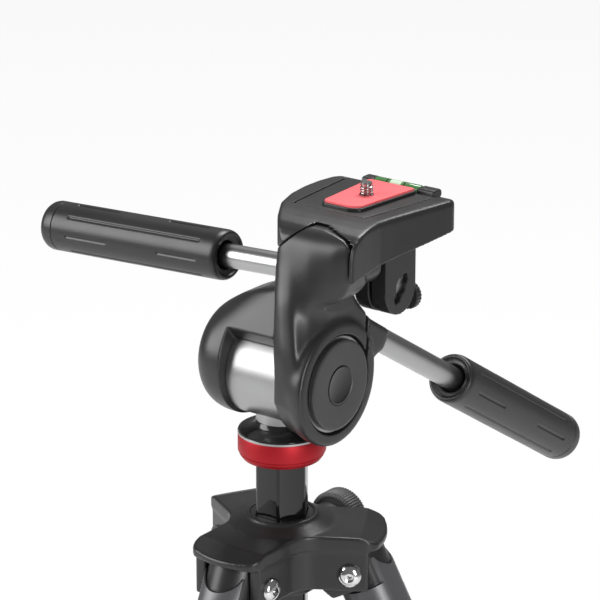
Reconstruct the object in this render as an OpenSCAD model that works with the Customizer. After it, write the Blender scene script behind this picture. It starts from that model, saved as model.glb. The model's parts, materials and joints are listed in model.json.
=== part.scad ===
// Camera tripod: a three-way pan and tilt head with two handles, on a
// rapid centre column and three telescopic legs.
// +Z is up, -Y is the way the lens looks, +Y is the side the user stands on.
// The origin is on the floor, on the centre column's axis.

/* [Legs] */
// Length of a closed leg, from its hinge to the sole of its foot
leg_len = 330; // [310:5:360]
// Angle between an open leg and the column
leg_angle = 23; // [21:1:24]
// Distance of each leg hinge from the column's axis
hinge_r = 34.5; // [34:0.5:36]
// Outside diameter of the upper leg tube
upper_tube_d = 29.2; // [28.8:0.2:29.6]
// Outside diameter of the middle leg tube
middle_tube_d = 25.4; // [25:0.2:25.8]
// Outside diameter of the lower leg tube
lower_tube_d = 21.8; // [21.2:0.2:22.2]
// Wall of every leg tube
tube_wall = 1.3; // [1.1:0.1:1.4]

/* [Centre column] */
// Width of the hexagonal column across its flats
column_af = 23.6; // [23:0.2:24]
// Length of the column
column_len = 268; // [240:4:270]
// Column showing between the head and the shoulder
column_showing = 28; // [20:1:40]

/* [Head] */
// Radius of the base ring under the pan joint
base_r = 21; // [20.5:0.5:22]
// Radius of the tilt barrel
barrel_r = 22.9; // [22.5:0.1:23]
// Diameter of the handle rods
rod_d = 11.8; // [11:0.2:12]
// Diameter of the handle grips
grip_d = 25.2; // [24:0.2:26]
// Length of the tilt handle's grip
tilt_grip_len = 125; // [110:5:130]
// Length of the side handle's grip
side_grip_len = 113; // [105:1:120]
// Droop of the tilt handle below level
tilt_droop = 31.7; // [30:0.1:34]
// Droop of the side handle below level
side_droop = 2.75; // [2:0.05:3.5]

/* [Camera platform] */
// Height of the deck above the tilt axis
deck_h = 78; // [77:0.5:79]
// Diameter of the camera screw
screw_d = 6.35; // [6.35, 9.525]
// Height of the camera screw above the pad
screw_h = 6; // [5:0.5:7]

/* [Hidden] */
$fn = 72;
tiny = 0.01;
legs = ["a", "b", "c"];
leg_parts = ["fittings", "upper_tube", "upper_lever", "middle_tube",
             "lower_collar", "lower_lever", "lower_tube", "foot"];
leg_azimuth = [-90, 30, 150];

// heights above the floor
hinge_z = leg_len * cos(leg_angle);
lip_above_hinge = 24;
ring_h = 12.4;
ring_above_lip = column_showing;
axis_above_ring = 43;
lip_z = hinge_z + lip_above_hinge;
ring_z = lip_z + ring_above_lip;
axis_z = ring_z + axis_above_ring;

// head, measured from the point where the pan and tilt axes cross
flange_z = -29.4;
flange_top_z = -28.2;
washer_h = 1.2;
neck_r = 12.3;
barrel_x0 = -15.6;
barrel_x1 = 31.4;
cap_x = 34.2;
cap_r = 22.6;
cap_edge = 0.8;
cap_spigot_r = 7.95;
disc_r = 10.9;
run_gap = 0.06;
seat_gap = 0.02;
turn_gap = 0.05;
face_gap = 0.02;
arm_x0 = 14.6;
arm_x1 = 32.3;
arm_r0 = 26.4;
arm_r1 = 29.5;
cheek_z = 4.5;
cheek_r = 28.5;
cheek_x1 = -37.5;
cheek_front = 28.08;
cheek_bore_x0 = barrel_x0 - 0.3;
cheek_bore_r = barrel_r + 0.4;
pin_r = 8;
pin_head_r = 10.5;
pin_seat_x = -33;

// the tilt clamp: the handle pulls the lug onto the ring, tangent to the barrel
tilt_rod_x = 23.5;
lug_y = 42.3;
lug_z = 9.6;
rod_r = rod_d / 2;
grip_r = grip_d / 2;
stud_r = 3.9;
tilt_rod_out = 75.5;

// the roll joint: a shaft along Y that the platform's split clamp grips
roll_x = 31;
roll_z = 53;
roll_shaft_r = 5;
roll_boss_r = 9;
clamp_y0 = 27;
clamp_y1 = 52;
clamp_x0 = 22;
clamp_x1 = 40;
side_rod_y = 40;
side_rod_z = 38.4;
side_rod_out = 53;
side_collar_x = -62;
knob2_x = 34;
knob2_z = 29.8;
knob2_r = 7;
knob2_stem_r = 2.4;
hump_y = 8;
hump_x1 = 43.4;
platform_gap = 0.9;

// platform outline, seen from above
plate_x = 20.3;
plate_y = 39;
wall = 3;
panel_t = 1.8;
panel = [[-4.2, 15.6], [36.6, 14.8], [43.8, 61.2], [-8, 61.2]];
foot_x0 = 11;
foot_x1 = 29.6;
foot_y0 = 22;
foot_y1 = 58;
screw_neck_r = 2.9;
screw_head_r = 6.9;

// the level along the rear edge, and the release lever under the deck
holder_x0 = 1.2;
holder_x1 = 42.6;
holder_y0 = 61.4;
vial_x0 = 7.6;
vial_x1 = 33.6;
vial_y = 65;
vial_z = 77.8;
vial_r = 3;
lever_x = -7.5;
lever_y = 30;
lever_z0 = 69.4;
lever_z1 = 73;
lever_pin_r = 2;

// shoulder, measured from the lip round the column
hood_top = -4.8;
hood_bottom = -11.8;
hood_r = 50.3;
hood_w = 39;
hood_flat = 39.3;
hood_slope = 20;
spider_bottom = -32.4;
hub_bottom = -38;
wall_len = 43;
wall_w = 38;
pocket_w = 25.8;
pocket_in = 16.4;
pocket_out = 47.8;
pocket_top = 15.6;
lip_r = 17.2;
bush_r = 15;
bolt_r = 3;
knob_z = -19;
knob_r = 14;
knob_y = 41;
knob_t = 11;
knob_ribs = 30;
knob_rib_w = 1.1;
stud_boss_r = 10;
hood_web_r = 18;
wall_web_r = 14;
flare_h = 3.4;
flare_r = 25;
bolt_head_r = 5.8;
bolt_rim_h = 1.6;
bolt_dome_h = 1.8;
bolt_dome_r = 3.2;
bolt_socket_r = 1.6;

// column, the ring on its top, and the screw that the head pans on
column_corner_r = 13.3;
column_bore_r = 9.8;
column_play = 0.6;
end_cap_r = 14.2;
head_plug_r = 17;
plug_seat = 6;
ring_bore_r = 13.5;
pan_screw_r = 4;
pan_head_r = 7;

// legs, measured down each leg from its hinge
leg_offset = 3;
block_w = 24.8;
eye_r = 17.6;
crown_r = 15.2;
crown_z = 12.8;
// height of the hinge block's crown above the pivot when the leg is folded
crown_folded = pocket_top - 0.4;
heel_x = 17.2;
ear_w = 22.4;
ear_top = -5;
scoop_r = 11.4;
scoop_z = -4.4;
tube_top = 11.5;
plug_end = 36;
middle_top = 40;
lower_top = 50;
upper_collar_h = 34;
lower_collar_h = 30;
foot_h = 30;
stack_gap = 1.4;
foot_top = leg_len - foot_h;
lower_collar_end = foot_top - stack_gap;
lower_collar_top = lower_collar_end - lower_collar_h;
upper_collar_end = lower_collar_top - stack_gap;
upper_collar_top = upper_collar_end - upper_collar_h;
upper_r = upper_tube_d / 2;
plug_r = upper_r - tube_wall - 0.04;
middle_r = middle_tube_d / 2;
lower_r = lower_tube_d / 2;
upper_collar_r = upper_r + 2.8;
lower_collar_r = middle_r + 2.8;
lever_drop = 8;
lever_w = 14;
lever_t = 3.8;
ear_t = 2.8;
catch_out = 2.4;
catch_pin_r = 2;
cam_r = 3.9;
lever_lift = 0.9;
lever_tip_angle = 12;
slide_gap = 0.1;

// ---------- placing ----------

module in_head() translate([0, 0, axis_z]) children();

module rod_x(x0, x1, r, z = 0) translate([x0, 0, z]) rotate([0, 90, 0]) cylinder(h = x1 - x0, r = r);

module rod_y(y0, y1, r) translate([0, y0, 0]) rotate([-90, 0, 0]) cylinder(h = y1 - y0, r = r);

// a profile drawn in Y and Z, and run along X
module profile_x(x0, x1) translate([x0, 0, 0]) rotate([90, 0, 90]) linear_extrude(x1 - x0) children();

// a profile drawn in X and Z, and run along Y
module profile_y(y0, y1) translate([0, y1, 0]) rotate([90, 0, 0]) linear_extrude(y1 - y0) children();

// the tilt handle's own axis: origin on the lug's face, +Z out along the rod
module on_tilt_rod() in_head() translate([tilt_rod_x, lug_y, lug_z])
    rotate([-90 - tilt_droop, 0, 0]) children();

// the side handle's own axis: origin in the split of the clamp, +Z out along the rod
module on_side_rod() in_head() translate([roll_x, side_rod_y, side_rod_z])
    rotate([0, -90 - side_droop, 0]) children();

// a leg's own axis: origin on its hinge, -Z down the leg, +Y along the hinge bolt
module on_hinge(i) rotate([0, 0, leg_azimuth[i]]) translate([hinge_r, 0, hinge_z]) children();

module on_leg(i) on_hinge(i) rotate([0, -leg_angle, 0]) children();

// the tubes' axis runs a little outside the hinge
module on_tubes(i) on_leg(i) translate([leg_offset, 0, 0]) children();

// ---------- shoulder ----------

module hex_bar(af, corner_r, h) intersection() {
    cylinder(h = h, r = af / 2 / cos(30), $fn = 6);
    cylinder(h = h, r = corner_r);
}

// three arms joined by concave webs
module star(len, w, r) {
    corner = w / 2 / sin(60);
    for (a = leg_azimuth) rotate(a) translate([0, -w / 2]) square([len, w]);
    for (a = leg_azimuth) rotate(a + 60) difference() {
        polygon([[0, 0], [corner + r / tan(60) / 2, r * 0.5], [corner + r / sin(60), 0],
                 [corner + r / tan(60) / 2, -r * 0.5]]);
        translate([corner + r / sin(60), 0]) circle(r);
    }
}

module hoods() difference() {
    translate([0, 0, lip_z + hood_bottom]) linear_extrude(hood_top - hood_bottom) intersection() {
        star(hood_r + 2, hood_w, hood_web_r);
        circle(hood_r);
    }
    for (a = leg_azimuth) rotate([0, 0, a]) translate([hood_flat, -40, lip_z + hood_top])
        rotate([0, hood_slope, 0]) cube([40, 80, 20]);
}

module spider() color("#2b2b2c") difference() {
    union() {
        translate([0, 0, lip_z + spider_bottom]) linear_extrude(hood_bottom - spider_bottom + 2)
            star(wall_len, wall_w, wall_web_r);
        hoods();
        translate([0, 0, lip_z + hood_top - tiny]) cylinder(h = flare_h, r1 = flare_r, r2 = lip_r + 0.8);
        translate([0, 0, lip_z + hub_bottom]) cylinder(h = -hub_bottom, r = lip_r);
        translate([0, 0, lip_z + knob_z]) rod_y(0, knob_y - 1.5, stud_boss_r);
    }
    translate([0, 0, lip_z + hub_bottom - 1]) cylinder(h = 2 - hub_bottom, r = bush_r + seat_gap);
    translate([0, 0, lip_z + knob_z]) rod_y(0, knob_y, stud_r + turn_gap);
    for (i = [0:2]) on_hinge(i) {
        translate([pocket_in - hinge_r, -pocket_w / 2, -40])
            cube([60, pocket_w, 40 + lip_above_hinge + hood_bottom]);
        translate([pocket_in - hinge_r, -pocket_w / 2, 0])
            cube([pocket_out - pocket_in, pocket_w, pocket_top]);
        rod_y(-30, 30, bolt_r + seat_gap);
    }
}

module column_bush() color("#161616") difference() {
    translate([0, 0, lip_z + hub_bottom]) cylinder(h = -hub_bottom - 0.6, r = bush_r);
    translate([0, 0, lip_z + hub_bottom - 1]) hex_bar(column_af + column_play, column_corner_r + 0.5, 60);
    translate([0, 0, lip_z + knob_z]) rod_y(0, 20, stud_r + turn_gap);
}

module leg_pivot_bolts() color("#dcdcdc") for (i = [0:2]) on_hinge(i) {
    rod_y(-wall_w / 2 - 1, wall_w / 2 + 1, bolt_r);
    for (s = [0, 1]) mirror([0, s, 0]) translate([0, wall_w / 2, 0]) rotate([-90, 0, 0])
        difference() {
            union() {
                cylinder(h = bolt_rim_h, r = bolt_head_r);
                translate([0, 0, bolt_rim_h]) cylinder(h = bolt_dome_h, r1 = bolt_head_r, r2 = bolt_dome_r);
            }
            translate([0, 0, bolt_dome_h]) cylinder(h = 3, r = bolt_socket_r);
        }
}

module lock_stud() color("#9a9a9a") translate([0, 0, lip_z + knob_z]) rod_y(12.3, knob_y + 5, stud_r);

module lock_knob() color("#3a3a3b") translate([0, 0, lip_z + knob_z]) difference() {
    union() {
        rod_y(knob_y, knob_y + knob_t, knob_r - 0.6);
        for (k = [1:knob_ribs]) rotate([0, k * 360 / knob_ribs, 0])
            translate([-knob_rib_w / 2, knob_y + 1, 0]) cube([knob_rib_w, knob_t - 2, knob_r]);
    }
    rod_y(knob_y - 1, knob_y + 5, stud_r + seat_gap);
}

// ---------- column ----------

module column_tube() color("#0c0c0d") difference() {
    translate([0, 0, ring_z - column_len]) hex_bar(column_af, column_corner_r, column_len + 6);
    translate([0, 0, ring_z - column_len - 1]) cylinder(h = column_len + 10, r = column_bore_r);
}

module column_end_cap() color("#1c1c1d") translate([0, 0, ring_z - column_len]) {
    translate([0, 0, -9]) cylinder(h = 3, r1 = end_cap_r - 1.6, r2 = end_cap_r);
    translate([0, 0, -6]) cylinder(h = 6, r = end_cap_r);
    cylinder(h = 14, r = column_bore_r - turn_gap);
}

module head_plug() color("#8f9092") translate([0, 0, ring_z]) difference() {
    union() {
        translate([0, 0, -22]) cylinder(h = 28, r = column_bore_r - turn_gap);
        translate([0, 0, plug_seat]) cylinder(h = ring_h - plug_seat, r = head_plug_r);
    }
    translate([0, 0, -10]) cylinder(h = 40, r = pan_screw_r + seat_gap);
}

module red_ring() color("#a3121c") translate([0, 0, ring_z]) difference() {
    rotate_extrude($fn = 96) polygon([
        [ring_bore_r, 0], [base_r - 2.2, 0], [base_r - 0.5, 2.2], [base_r - 0.5, 3],
        [base_r, 3.4], [base_r, ring_h], [ring_bore_r, ring_h]]);
    translate([0, 0, plug_seat]) cylinder(h = ring_h, r = head_plug_r + seat_gap);
}

module thrust_washer() color("#c9cacb") in_head() translate([0, 0, flange_z - washer_h]) difference() {
    cylinder(h = washer_h - 0.05, r = base_r, $fn = 96);
    translate([0, 0, -1]) cylinder(h = 4, r = neck_r + 0.3);
}

module pan_screw() color("#77787a") in_head() {
    translate([0, 0, -50]) cylinder(h = 38, r = pan_screw_r);
    translate([0, 0, -12]) cylinder(h = 5, r = pan_head_r);
}

// ---------- pan joint and tilt barrel ----------

module pan_flange() color("#1d1d1e") in_head() translate([0, 0, flange_z]) difference() {
    cylinder(h = flange_top_z - flange_z, r1 = base_r - 0.2, r2 = base_r - 2);
    translate([0, 0, -1]) cylinder(h = 4, r = neck_r + seat_gap);
}

module tilt_barrel() color("#b9babb") in_head() difference() {
    union() {
        rod_x(barrel_x0, barrel_x1, barrel_r, $fn = 96);
        translate([0, 0, flange_z + 0.01]) cylinder(h = 20, r = neck_r);
    }
    translate([0, 0, -40]) cylinder(h = 40, r = pan_screw_r + run_gap);
    translate([0, 0, -12 - run_gap]) cylinder(h = 12, r = pan_head_r + 0.3);
    rod_x(barrel_x0 - 1, -9.5, pin_r + seat_gap);
    rod_x(26, barrel_x1 + 1, cap_spigot_r + turn_gap);
}

module barrel_cap() color("#4b4b4d") in_head() difference() {
    union() {
        rod_x(barrel_x1, cap_x - cap_edge, cap_r, $fn = 96);
        translate([cap_x - cap_edge, 0, 0]) rotate([0, 90, 0])
            cylinder(h = cap_edge, r1 = cap_r, r2 = cap_r - cap_edge);
        rod_x(27, barrel_x1, cap_spigot_r);
    }
    rod_x(cap_x - 1, cap_x + 1, disc_r + turn_gap);
}

module cap_badge() color("#101011") in_head() rod_x(cap_x - 1, cap_x + 0.15, disc_r);

// ---------- tilt body ----------

module cheek_pin_axis(x0, x1, r) in_head() rod_x(x0, x1, r);

module tilt_pin() color("#8c8d8f") {
    cheek_pin_axis(pin_seat_x, -9.6, pin_r);
    cheek_pin_axis(pin_seat_x - 2.5, pin_seat_x, pin_head_r);
}

// the neck's cross-section at a height, as a thin slab for a hull
module slab(z, outline) translate([0, 0, z]) linear_extrude(1) polygon(outline);

module hump() profile_y(-hump_y - 0.6, hump_y)
    polygon([[3.6, 50], [3.6, 64], [21.5, 75], [38.6, 72.9], [hump_x1, 70], [hump_x1, roll_z],
        [36, 46]]);

module tilt_arm() color("#3d3d3f") in_head() difference() {
    union() {
        rotate([0, 90, 0]) rotate_extrude($fn = 96) polygon([
            [0, arm_x0], [arm_r0, arm_x0], [arm_r0 + 0.8, base_r], [arm_r1, 25], [arm_r1, arm_x1 - 1.6],
            [arm_r1 - 1.4, arm_x1], [0, arm_x1]]);
        hull() {
            slab(6, [[arm_x0, -26.3], [27, -27.5], [31.5, -22], [31.5, 20], [arm_x0, 20]]);
            slab(37, [[9.5, -22], [21, -20.5], [33, 0], [33, 11], [9, 11]]);
        }
        hull() {
            slab(37, [[9.5, -22], [21, -20.5], [33, 0], [33, 11], [9, 11]]);
            hump();
        }
        profile_x(15.2, arm_x1 - 0.5) polygon([
            [0, 20], [4, 44], [17, 36.5], [27.3, 27.8], [29.2, 24.8],
            [lug_y + 4.4 * sin(tilt_droop), lug_z + 4.4 * cos(tilt_droop)],
            [lug_y - 4.4 * sin(tilt_droop), lug_z - 4.4 * cos(tilt_droop)],
            [31.8, 3.2], [27, -6], [10, 0]]);
        translate([roll_x, 0, roll_z]) rod_y(0, clamp_y0 - 1.4, roll_boss_r);
    }
    rod_x(arm_x0 - 0.01, arm_x1 + 1, barrel_r + run_gap, $fn = 96);
    rod_x(0, arm_x0, cheek_bore_r, $fn = 96);
    rod_x(arm_x1 - 1.2, arm_x1 + 1, barrel_r + 1);
    // the split of the tilt clamp
    translate([0, 24.9, 20.4]) rotate([-12, 0, 0]) translate([arm_x0 - 1, -1.2, -16]) cube([20, 2.4, 30]);
    // the room that the platform's right wall sweeps as it rolls over
    difference() {
        translate([roll_x - 0.4, -hump_y - 0.9, 31]) cube([30, 60, roll_z - 31]);
        translate([roll_x, 0, roll_z]) rod_y(-40, 80, 11);
    }
    translate([roll_x, 0, roll_z]) rod_y(-5, 60, roll_shaft_r + seat_gap);
    translate([tilt_rod_x, lug_y, lug_z]) rotate([-90 - tilt_droop, 0, 0])
        translate([0, 0, -33]) cylinder(h = 40, r = stud_r + turn_gap);
}

module tilt_cheek() color("#3a3a3c") in_head() difference() {
    union() {
        translate([0, 0, cheek_z]) {
            rod_x(-28, arm_x0 - face_gap, cheek_r, $fn = 96);
            translate([-34, 0, 0]) rotate([0, 90, 0]) cylinder(h = 6, r1 = cheek_r - 6, r2 = cheek_r);
            translate([cheek_x1, 0, 0]) rotate([0, 90, 0])
                cylinder(h = -34 - cheek_x1, r1 = cheek_r - 14, r2 = cheek_r - 6);
        }
        profile_y(-10, 12) polygon([
            [-27, 24], [-19, 35], [-8, 41], [arm_x0 - face_gap, 44], [arm_x0 - face_gap, 20], [-20, 20]]);
    }
    // the barrel turns in here
    rod_x(cheek_bore_x0, arm_x0 + 1, cheek_bore_r, $fn = 96);
    // the window that the neck swings in
    profile_x(cheek_bore_x0, arm_x0 + 1) polygon([
        [0, 0], [-60 * cos(49), 60 * sin(49)], [-70, 50], [-70, -60], [60, -60], [60, -60 * tan(24)]]);
    // nothing of it reaches over the arm
    profile_y(-60, 60) polygon([[arm_x0 - face_gap, -60], [arm_x0 - face_gap, 6], [8.98, 37], [3.58, 50],
        [3.58, 90], [60, 90], [60, -60]]);
    // relief that keeps it clear of the pan flange when the head looks straight down
    difference() {
        translate([-base_r - 1.5, -60, -60]) cube([20, 120, 62]);
        rod_x(-60, 60, 27.2);
    }
    translate([-base_r - 1.5, -60, -60]) cube([20, 60 - cheek_front, 120]);
    rod_x(pin_seat_x - run_gap, 0, pin_r + seat_gap);
    rod_x(cheek_x1 - 2, pin_seat_x, pin_head_r + seat_gap);
}

module roll_shaft() color("#a9aaac") in_head() translate([roll_x, 0, roll_z])
    rod_y(-4.5, clamp_y1 + 2, roll_shaft_r);

// ---------- handles, each built along its own axis ----------

module handle_rod(reach, stud_in, grip_len) {
    translate([0, 0, -stud_in]) cylinder(h = stud_in + 0.4, r = stud_r);
    translate([0, 0, 0.3]) cylinder(h = reach + grip_len - 22, r = rod_r);
}

module handle_grip(reach, grip_len) translate([0, 0, reach]) difference() {
    rotate_extrude($fn = 96) polygon([
        [7.2, 0], [grip_r - 3.4, 0], [grip_r - 1, 0.9], [grip_r, 3.2], [grip_r, grip_len - 7],
        [0, grip_len - 7], [0, 4], [7.2, 4]]);
    translate([0, 0, -1]) cylinder(h = grip_len - 18, r = rod_r + seat_gap);
}

module handle_cap(reach, grip_len) translate([0, 0, reach + grip_len]) rotate_extrude($fn = 96)
    polygon([[0, -6.6], [grip_r - 0.1, -6.6], [grip_r - 0.1, -4.4], [grip_r - 1.4, -1.6],
        [grip_r - 4.4, 0], [0, 0]]);

module tilt_handle_rod() color("#a6a7a9") on_tilt_rod() handle_rod(tilt_rod_out, 31.5, tilt_grip_len);
module tilt_handle_grip() color("#2c2c2e") on_tilt_rod() handle_grip(tilt_rod_out, tilt_grip_len);
module tilt_handle_cap() color("#242425") on_tilt_rod() handle_cap(tilt_rod_out, tilt_grip_len);

side_reach = (roll_x - side_collar_x) / cos(side_droop);

module side_handle_rod() color("#a6a7a9") on_side_rod() {
    translate([0, 0, -7]) cylinder(h = 20, r = stud_r);
    translate([0, 0, 9.6]) cylinder(h = side_reach + side_grip_len - 32, r = rod_r);
}
module side_handle_grip() color("#2c2c2e") on_side_rod() handle_grip(side_reach, side_grip_len);
module side_handle_cap() color("#242425") on_side_rod() handle_cap(side_reach, side_grip_len);

// ---------- camera platform ----------

function deck_outline(t) = [
    [4.4 + t, -8.8 + t], [46.4 - t, -8.8 + t], [50 - t, 10], [52.6 - t, 65 - t],
    [-16.4 + t, 65 - t], [-11 + t, 14]];

module platform() color("#444446") in_head() difference() {
    intersection() {
        translate([0, 0, 50]) linear_extrude(deck_h - 50) polygon(deck_outline(0));
        profile_x(-20, 60) polygon([
            [-9, 50], [66, 50], [66, deck_h], [14, deck_h], [4, deck_h - 0.5], [-4, deck_h - 1.6],
            [-7.6, deck_h - 3.6], [-9, deck_h - 6.5]]);
    }
    // hollow inside, open below
    translate([0, 0, 40]) linear_extrude(deck_h - 3.4 - 40) polygon(deck_outline(wall));
    // everything left of the right wall stops short above the tilt arm
    translate([-30, -20, 40]) cube([30 + hump_x1, 110, 64 - 40]);
    // the right wall's lower edge climbs towards the rear
    profile_x(42, 70) polygon([[-20, 30], [-20, 53], [-2, 53], [17, 58], [43, 60], [66, 64],
        [80, 66], [80, 30]]);
    // the front opening round the arm's head
    profile_y(-20, 10) polygon([[3.6 - platform_gap, 40], [3.6 - platform_gap, 64.5],
        [21.4, 75.4 + platform_gap], [39, 73.2 + platform_gap],
        [hump_x1 + platform_gap, 70.6 + platform_gap], [hump_x1 + platform_gap, 40]]);
    // seats for the deck panel, the plate's foot, the level and the release lever
    translate([0, 0, deck_h - panel_t]) linear_extrude(4) offset(delta = 0.4) polygon(panel);
    translate([foot_x0 - 0.4, foot_y0 - 0.4, deck_h - 10])
        cube([foot_x1 - foot_x0 + 0.8, foot_y1 - foot_y0 + 0.8, 20]);
    translate([holder_x0 - 0.2, holder_y0 - 0.02, deck_h - 2])
        cube([holder_x1 - holder_x0 + 0.4, 20, 10]);
    translate([0, vial_y, vial_z]) rod_x(vial_x0 - 0.2, vial_x1 + 0.2, vial_r + seat_gap);
    translate([-25, lever_y - 4.4, lever_z0 - 0.4]) cube([25, 34, lever_z1 - lever_z0 + 0.8]);
    translate([lever_x, lever_y, 60]) cylinder(h = deck_h - 62, r = lever_pin_r + seat_gap);
}

module lever_pin() color("#9c9da0") in_head() translate([lever_x, lever_y, 66])
    cylinder(h = deck_h - 2.1 - 66, r = lever_pin_r);

module release_lever() color("#262627") in_head() difference() {
    translate([0, 0, lever_z0]) linear_extrude(lever_z1 - lever_z0) union() {
        translate([lever_x, lever_y]) circle(4);
        polygon([[lever_x, lever_y - 4], [foot_x0 - 1.6, lever_y - 0.5],
            [foot_x0 - 1.1, lever_y + 3.5], [lever_x, lever_y + 4]]);
        polygon([[lever_x - 4, lever_y], [lever_x + 3.6, lever_y + 1], [-12.6, 56], [-19.6, 58],
            [-21, 56.6], [-19, 48], [-14.6, 33]]);
    }
    translate([lever_x, lever_y, 60]) cylinder(h = 20, r = lever_pin_r + turn_gap);
}

module roll_clamp() color("#333334") in_head() difference() {
    union() {
        profile_x(clamp_x0, clamp_x1) {
            translate([39.5, 37.5]) circle(12.3);
            translate([27.2, 37.5]) square([24.6, 33.3]);
        }
        translate([foot_x1 + 0.8, 27.2, 60]) cube([clamp_x1 - foot_x1 - 0.8, 24.6, deck_h - 3.42 - 60]);
    }
    translate([roll_x, 0, roll_z]) rod_y(20, 60, roll_shaft_r + run_gap);
    translate([roll_x - 0.8, 20, 20]) cube([1.6, 40, roll_z - 20]);
    translate([roll_x, side_rod_y, side_rod_z]) rotate([0, -90 - side_droop, 0])
        translate([0, 0, -12]) cylinder(h = 30, r = stud_r + turn_gap);
    // long slanted pocket where the stud's end shows
    translate([0, side_rod_y, side_rod_z - 0.6]) rotate([-36, 0, 0]) profile_x(clamp_x1 - 3.4, clamp_x1 + 1)
        polygon([[-2.6, -6], [0, -8.2], [2.6, -6], [2.6, 6], [0, 8.2], [-2.6, 6]]);
    translate([knob2_x, 0, knob2_z]) rod_y(43, 60, knob2_stem_r + turn_gap);
}

module friction_knob() color("#1f1f20") in_head() translate([knob2_x, 0, knob2_z]) {
    rod_y(44, 52.4, knob2_stem_r);
    rod_y(52.4, 55, knob2_r);
    translate([0, 55, 0]) rotate([-90, 0, 0]) cylinder(h = 1, r1 = knob2_r, r2 = knob2_r - 1);
}

module deck_cover() color("#4e4e50") in_head() difference() {
    translate([0, 0, deck_h - panel_t]) linear_extrude(panel_t) polygon(panel);
    translate([foot_x0 - 0.4, foot_y0 - 0.4, deck_h - 10])
        cube([foot_x1 - foot_x0 + 0.8, foot_y1 - foot_y0 + 0.8, 20]);
}

module level_holder() color("#39393b") in_head() difference() {
    profile_x(holder_x0, holder_x1) polygon([[holder_y0, deck_h - 2], [68, deck_h - 2], [69, deck_h - 0.6],
        [68.6, 79.4], [67.4, 80.3], [63, 80.3], [61.8, 79.6], [holder_y0, deck_h]]);
    translate([0, vial_y, vial_z]) rod_x(vial_x0 - 0.2, vial_x1 + 0.2, vial_r + seat_gap);
    translate([vial_x0, 60, vial_z]) cube([vial_x1 - vial_x0, 12, 10]);
}

module level_vial() color("#2f8f3c") in_head() translate([0, vial_y, vial_z])
    rod_x(vial_x0, vial_x1, vial_r);

function pad_outline(t) = [
    [9.1 - t, 19.6 - t], [26.4 + t * 0.6, 19.3 - t], [28.3 + t, 22.4 - t],
    [33.2 + t, 60.4 + t * 0.4], [6.9 - t, 60.4 + t * 0.4]];

module quick_plate() color("#151516") in_head() difference() {
    union() {
        translate([0, 0, deck_h + 0.05]) linear_extrude(1.55) polygon(pad_outline(0.9));
        translate([foot_x0, foot_y0, deck_h - 7]) cube([foot_x1 - foot_x0, foot_y1 - foot_y0, 7.1]);
    }
    translate([plate_x, plate_y, deck_h - 8]) cylinder(h = 20, r = screw_neck_r + turn_gap);
    translate([plate_x, plate_y, deck_h - 8]) cylinder(h = 6, r = screw_head_r + 0.5);
}

module plate_pad() color("#f25560") in_head() difference() {
    translate([0, 0, deck_h + 1.6]) linear_extrude(1) polygon(pad_outline(0));
    translate([plate_x, plate_y, deck_h]) cylinder(h = 20, r = 3.5);
}

module camera_screw() color("#d2d2d2") in_head() translate([plate_x, plate_y, deck_h]) {
    translate([0, 0, -5.6]) cylinder(h = 3.2, r = screw_head_r);
    translate([0, 0, -2.6]) cylinder(h = 5.6, r = screw_neck_r);
    translate([0, 0, 2.9]) cylinder(h = screw_h - 0.9, r = screw_d / 2);
    translate([0, 0, 2.9 + screw_h - 0.9]) cylinder(h = 0.6, r1 = screw_d / 2, r2 = screw_d / 2 - 0.6);
}

// ---------- legs ----------

module clamp_collar(top, h, r, r_tube, r_slide) difference() {
    union() {
        translate([0, 0, -top - h]) cylinder(h = h, r = r);
        for (s = [-1, 1])
            translate([0, s * (lever_w + 0.6 + ear_t) / 2 - ear_t / 2, -top - lever_drop]) {
            translate([r + catch_out, 0, 0]) rod_y(0, ear_t, 4);
            translate([4, 0, -4]) cube([r - 1.6, ear_t, 8]);
        }
    }
    translate([0, 0, -top - h * 0.55]) cylinder(h = h, r = r_tube + seat_gap);
    translate([0, 0, -top - h - 1]) cylinder(h = h + 2, r = r_slide + slide_gap);
    translate([r + catch_out, 0, -top - lever_drop]) {
        rod_y(-20, 20, catch_pin_r + turn_gap);
        rod_y(-lever_w / 2 - 0.3, lever_w / 2 + 0.3, cam_r + 0.4);
    }
}

module clamp_lever(top, h, r) {
    translate([r + catch_out, 0, -top - lever_drop]) {
        rod_y(-lever_w / 2 - ear_t, lever_w / 2 + ear_t, catch_pin_r);
        rod_y(-lever_w / 2, lever_w / 2, cam_r);
    }
    translate([r + lever_lift, -lever_w / 2, -top - h + 1]) cube([lever_t, lever_w, h - lever_drop - 1]);
    translate([r + lever_lift, -lever_w / 2, -top - h - 2.5]) rotate([0, lever_tip_angle, 0])
        cube([lever_t - 0.8, lever_w, 6]);
}

module leg_tube(d, top, end) translate([0, 0, -end]) difference() {
    cylinder(h = end - top, r = d / 2);
    translate([0, 0, -1]) cylinder(h = end - top + 2, r = d / 2 - tube_wall);
}

// where the upper tube reaches up outside the hinge block, round a scoop
module ear_zone(w) difference() {
    translate([0, -w / 2, -tube_top]) cube([upper_r + 5, w, tube_top - ear_top]);
    rod_x(-1, upper_r + 6, scoop_r, z = -scoop_z);
}

// the block fills the tube's mouth and reaches up to the bolt
module hinge_block() difference() {
    intersection() {
        union() {
            profile_y(-block_w / 2, block_w / 2) {
                rotate(-leg_angle) difference() {
                    circle(eye_r);
                    // the crown is lower, so that it passes under the hood
                    translate([-30, crown_z]) square([60, 20]);
                    // and its inner corner is cut back, so that it still does once the leg is folded
                    rotate(leg_angle) translate([-30, crown_folded]) square([60, 20]);
                    translate([-30 - heel_x, -30]) square([30, 60]);
                }
                circle(crown_r);
            }
            translate([-30, -30, -plug_end - 10]) cube([60, 60, plug_end + 10.5 - tube_top]);
        }
        union() {
            translate([leg_offset, 0, -plug_end]) cylinder(h = 80, r = plug_r);
            translate([-eye_r - 5, -block_w, -tube_top + 0.55])
                cube([eye_r + 5 + leg_offset, 2 * block_w, 60]);
        }
    }
    rod_y(-20, 20, bolt_r + turn_gap);
}

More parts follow.
